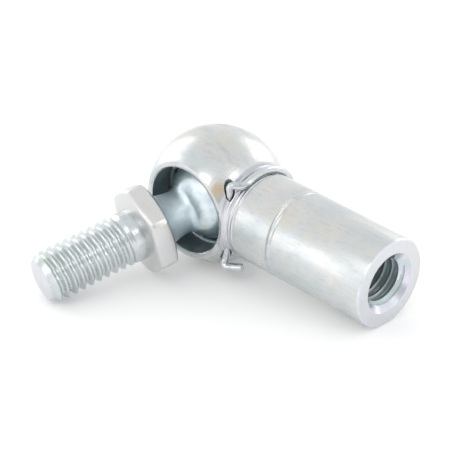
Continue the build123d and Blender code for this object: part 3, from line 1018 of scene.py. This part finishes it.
class JOINT_OT_ball_stud(bpy.types.Operator):
    """Make the ball, its neck, the hexagon and the threaded end, turned from one bar"""

    bl_idname = "ball_joint.ball_stud"
    bl_label = "Ball stud"

    def execute(self, context):
        sizes = context.scene.ball_joint_stud
        colours = context.scene.ball_joint_finish
        ball = stud_ball_and_neck(sizes, colours)
        hexagon = stud_hexagon(sizes, colours)
        thread = stud_thread(sizes, colours)
        for piece in (ball, hexagon, thread):
            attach(piece, "stud")
        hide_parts("ball_stud")
        return {"FINISHED"}


class JOINT_OT_socket(bpy.types.Operator):
    """Make the round head and its shank, bored for the ball and threaded for a rod"""

    bl_idname = "ball_joint.socket"
    bl_label = "Socket"

    def execute(self, context):
        scene = context.scene
        sizes = scene.ball_joint_socket
        ring_r = ring_radius(scene)
        socket = turned("socket_head_and_shank", socket_outline(sizes), 192, SHANK_PLACE)
        cutters = socket_cutters(sizes, scene.ball_joint_wires, ring_r)
        for cutter in cutters:
            cut = socket.modifiers.new(cutter.name, "BOOLEAN")
            cut.operation = "DIFFERENCE"
            cut.solver = "MANIFOLD"
            cut.object = cutter
        settled(socket)
        for cutter in cutters:
            bpy.data.objects.remove(cutter)
        set_materials(socket, *socket_materials(scene.ball_joint_finish))
        slot = socket_slots(sizes, ring_r)
        back = SOCKET_PLACE.inverted()
        for face in socket.data.polygons:
            face.material_index = slot(back @ face.center)
        smooth(socket.data, 32)
        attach(socket, "socket")
        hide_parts("ball_socket")
        return {"FINISHED"}


class JOINT_OT_retaining_ring(bpy.types.Operator):
    """Bend the split ring that holds the ball in its bore"""

    bl_idname = "ball_joint.retaining_ring"
    bl_label = "Retaining ring"

    def execute(self, context):
        scene = context.scene
        wires = scene.ball_joint_wires
        colours = scene.ball_joint_finish
        distance = scene.ball_joint_socket.ring_distance
        start = degrees(wires.ring_open_way)
        sweep = 360 - degrees(wires.ring_open)
        points = [(x, -distance, z) for x, z in arc((0, 0), ring_radius(scene), start, start + sweep, 180)]
        # Bare spring wire, wet with oil
        material = drawn_wire("oiled_spring_wire", colours, colours.ring_wire, 0.25)
        ring = wire_piece("ring_wire", points, wires.ring_wire_d, wires.ring_end, wires.wire_step, material)
        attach(ring, "ring")
        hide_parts("retaining_ring")
        return {"FINISHED"}


class JOINT_OT_safety_clip(bpy.types.Operator):
    """Bend the safety clip: its hook, the pin through the head and the bow round the shank"""

    bl_idname = "ball_joint.safety_clip"
    bl_label = "Safety clip"

    def execute(self, context):
        sizes = context.scene.ball_joint_socket
        wires = context.scene.ball_joint_wires
        colours = context.scene.ball_joint_finish
        floor_r, groove_x = neck_groove(sizes)
        bow_x = groove_x + wires.bow_setback
        bow_r = floor_r + wires.clip_wire_d / 2 + wires.clip_gap
        bend_r = wires.clip_bend_r
        corners = clip_corners(sizes, wires)
        shoulder = corners[-1]
        points = [corners[0]]
        for before, bend, after in zip(corners, corners[1:], corners[2:]):
            inward = (before - bend).normalized()
            outward = (after - bend).normalized()
            half = inward.angle(outward) / 2
            centre = bend + (inward + outward).normalized() * (bend_r / sin(half))
            first = (bend + inward * (bend_r / tan(half)) - centre).normalized()
            last = (bend + outward * (bend_r / tan(half)) - centre).normalized()
            points += [centre + first.slerp(last, i / 12) * bend_r for i in range(13)]
        points.append(shoulder)

        # From the shoulder the wire sweeps over in one cubic curve, drawn a little more strongly to the bow
        start = wires.bow_start
        landing = Vector((bow_x, bow_r * cos(start), bow_r * sin(start)))
        chord = (landing - shoulder).length
        leave = (shoulder - corners[-2]).normalized() * chord
        arrive = Vector((0, sin(start), -cos(start))) * chord * 1.2
        for i in range(1, 25):
            t = i / 24
            points.append(
                shoulder * (2 * t**3 - 3 * t**2 + 1)
                + leave * (t**3 - 2 * t**2 + t)
                + landing * (3 * t**2 - 2 * t**3)
                + arrive * (t**3 - t**2)
            )
        bow = arc((0, 0), bow_r, degrees(start), degrees(start - wires.bow_sweep), 96)
        points += [Vector((bow_x, y, z)) for y, z in bow[1:]]
        # Spring wire plated after bending: soft gloss, thinner plating on the bends
        material = drawn_wire("zinc_on_spring_wire", colours, colours.wire, 0.24)
        clip = wire_piece("clip_wire", points, wires.clip_wire_d, wires.clip_end, wires.wire_step, material)
        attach(clip, "socket")
        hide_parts("safety_clip")
        return {"FINISHED"}


class JOINT_OT_stage(bpy.types.Operator):
    """Set up the pale floor, the soft studio light and the camera"""

    bl_idname = "ball_joint.stage"
    bl_label = "Stage"

    def execute(self, context):
        scene = context.scene
        stage = scene.ball_joint_stage
        floor_colour = linear(scene.ball_joint_finish.floor)
        scene.view_settings.view_transform = "Standard"

        turn, rise = stage.azimuth, stage.elevation
        back = Vector((sin(turn) * cos(rise), -cos(turn) * cos(rise), sin(rise)))
        across = Vector((cos(turn), sin(turn), 0))
        upright = back.cross(across)
        right = across * cos(stage.roll) - upright * sin(stage.roll)
        up = upright * cos(stage.roll) + across * sin(stage.roll)
        target = Vector((stage.target_x, stage.target_y, stage.target_z))
        camera = link_object("camera", bpy.data.cameras.new("camera"))
        camera.data.sensor_width = stage.sensor
        camera.data.lens = stage.focal
        camera.data.clip_start = 10 * MM
        facing = Matrix((right, up, back)).transposed().to_4x4()
        camera.matrix_world = Matrix.Translation(target + back * stage.distance) @ facing
        scene.camera = camera

        # Floor: matt white acrylic, lit from below, so it glows a little and the joint's shadow stays pale
        values = {
            "Base Color": floor_colour,
            "Roughness": 0.9,
            "Specular IOR Level": 0.2,
            "Emission Color": floor_colour,
            "Emission Strength": stage.table,
        }
        mesh = bpy.data.meshes.new("floor")
        out = stage.table_side / 2
        mesh.from_pydata([(-out, -out, 0), (out, -out, 0), (out, out, 0), (-out, out, 0)], [], [(0, 1, 2, 3)])
        mesh.materials.append(end_material(new_material("matt_white_acrylic"), values))
        floor = link_object("floor", mesh)

        # White walls all round, and a slightly dimmer ceiling that sets in from 20 to 72 degrees up. The side
        # by the camera, a little to its lower right, is dim: it fades in from 41 to 11 degrees off its middle
        world = bpy.data.worlds.new("studio")
        world.use_nodes = True
        world.node_tree.nodes.clear()
        node = partial(add_node, world.node_tree)
        outward = node("ShaderNodeTexCoord").outputs["Generated"]
        height = node("ShaderNodeSeparateXYZ", {0: outward}).outputs["Z"]
        ends = {"From Min": 0.35, "From Max": 0.95, "To Min": stage.walls, "To Max": stage.ceiling}
        overhead = node("ShaderNodeMapRange", {"Value": height, **ends}, interpolation_type="SMOOTHSTEP")
        dim_way = (back + right * 0.14 - up * 0.22).normalized()
        toward = node("ShaderNodeVectorMath", {0: outward, 1: dim_way}, operation="DOT_PRODUCT")
        ends = {"From Min": 0.76, "From Max": 0.98, "To Min": 1.0, "To Max": stage.camera_side}
        inputs = {"Value": toward.outputs["Value"], **ends}
        dim = node("ShaderNodeMapRange", inputs, interpolation_type="SMOOTHSTEP")
        level = node("ShaderNodeMath", {0: overhead, 1: dim}, operation="MULTIPLY")
        glow = node("ShaderNodeBackground", {"Color": (1, 1, 1, 1), "Strength": level})
        node("ShaderNodeOutputWorld", {"Surface": glow})
        scene.world = world

        # Each lamp: turn from the right round to up and angle off the camera's direction, both in degrees,
        # side of the square in metres, power
        lamps = (
            ("left_softbox", 178, 62, 0.25, stage.left_power),
            ("right_softbox", 0, 56, 0.14, stage.right_power),
            ("back_left_softbox", 140, 115, 0.36, stage.back_left_power),
            ("back_right_softbox", 42, 115, 0.3, stage.back_right_power),
            ("front_left_lamp", 142, 30, 0.19, stage.front_left_power),
            ("front_right_lamp", 38, 40, 0.11, stage.front_right_power),
        )
        for name, turn, off, side, power in lamps:
            light = bpy.data.lights.new(name, "AREA")
            light.shape = "SQUARE"
            light.size = side
            light.energy = power
            lamp = link_object(name, light)
            sideways = right * cos(radians(turn)) + up * sin(radians(turn))
            way = sideways * sin(radians(off)) + back * cos(radians(off))
            facing = way.to_track_quat("Z", "Y").to_matrix().to_4x4()
            lamp.matrix_world = Matrix.Translation(BALL_CENTRE + way * stage.lamp_distance) @ facing
        return {"FINISHED"}


class JOINT_PT_sidebar(bpy.types.Panel):
    """Sizes, colours and steps of the angle ball joint"""

    bl_idname = "JOINT_PT_sidebar"
    bl_label = "Angle Ball Joint"
    bl_space_type = "VIEW_3D"
    bl_region_type = "UI"
    bl_category = "Ball Joint"

    def draw(self, context):
        layout = self.layout
        for step in STEPS:
            layout.operator(step.bl_idname)
        for name, kind in GROUPS:
            group = getattr(context.scene, name)
            box = layout.box()
            box.label(text=kind.__doc__)
            for key in kind.__annotations__:
                box.prop(group, key)


GROUPS = (
    ("ball_joint_stud", StudSizes),
    ("ball_joint_socket", SocketSizes),
    ("ball_joint_wires", WireSizes),
    ("ball_joint_finish", FinishColours),
    ("ball_joint_stage", StageSettings),
)
STEPS = (
    JOINT_OT_ball_stud,
    JOINT_OT_socket,
    JOINT_OT_retaining_ring,
    JOINT_OT_safety_clip,
    JOINT_OT_stage,
)


def register():
    for name, kind in GROUPS:
        bpy.utils.register_class(kind)
        setattr(bpy.types.Scene, name, PointerProperty(type=kind))
    for kind in STEPS:
        bpy.utils.register_class(kind)
    bpy.utils.register_class(JOINT_PT_sidebar)


def unregister():
    bpy.utils.unregister_class(JOINT_PT_sidebar)
    for kind in reversed(STEPS):
        bpy.utils.unregister_class(kind)
    for name, kind in reversed(GROUPS):
        delattr(bpy.types.Scene, name)
        bpy.utils.unregister_class(kind)


def main():
    register()
    bpy.ops.ball_joint.ball_stud()
    bpy.ops.ball_joint.socket()
    bpy.ops.ball_joint.retaining_ring()
    bpy.ops.ball_joint.safety_clip()
    bpy.ops.ball_joint.stage()


if __name__ == "__main__":
    main()
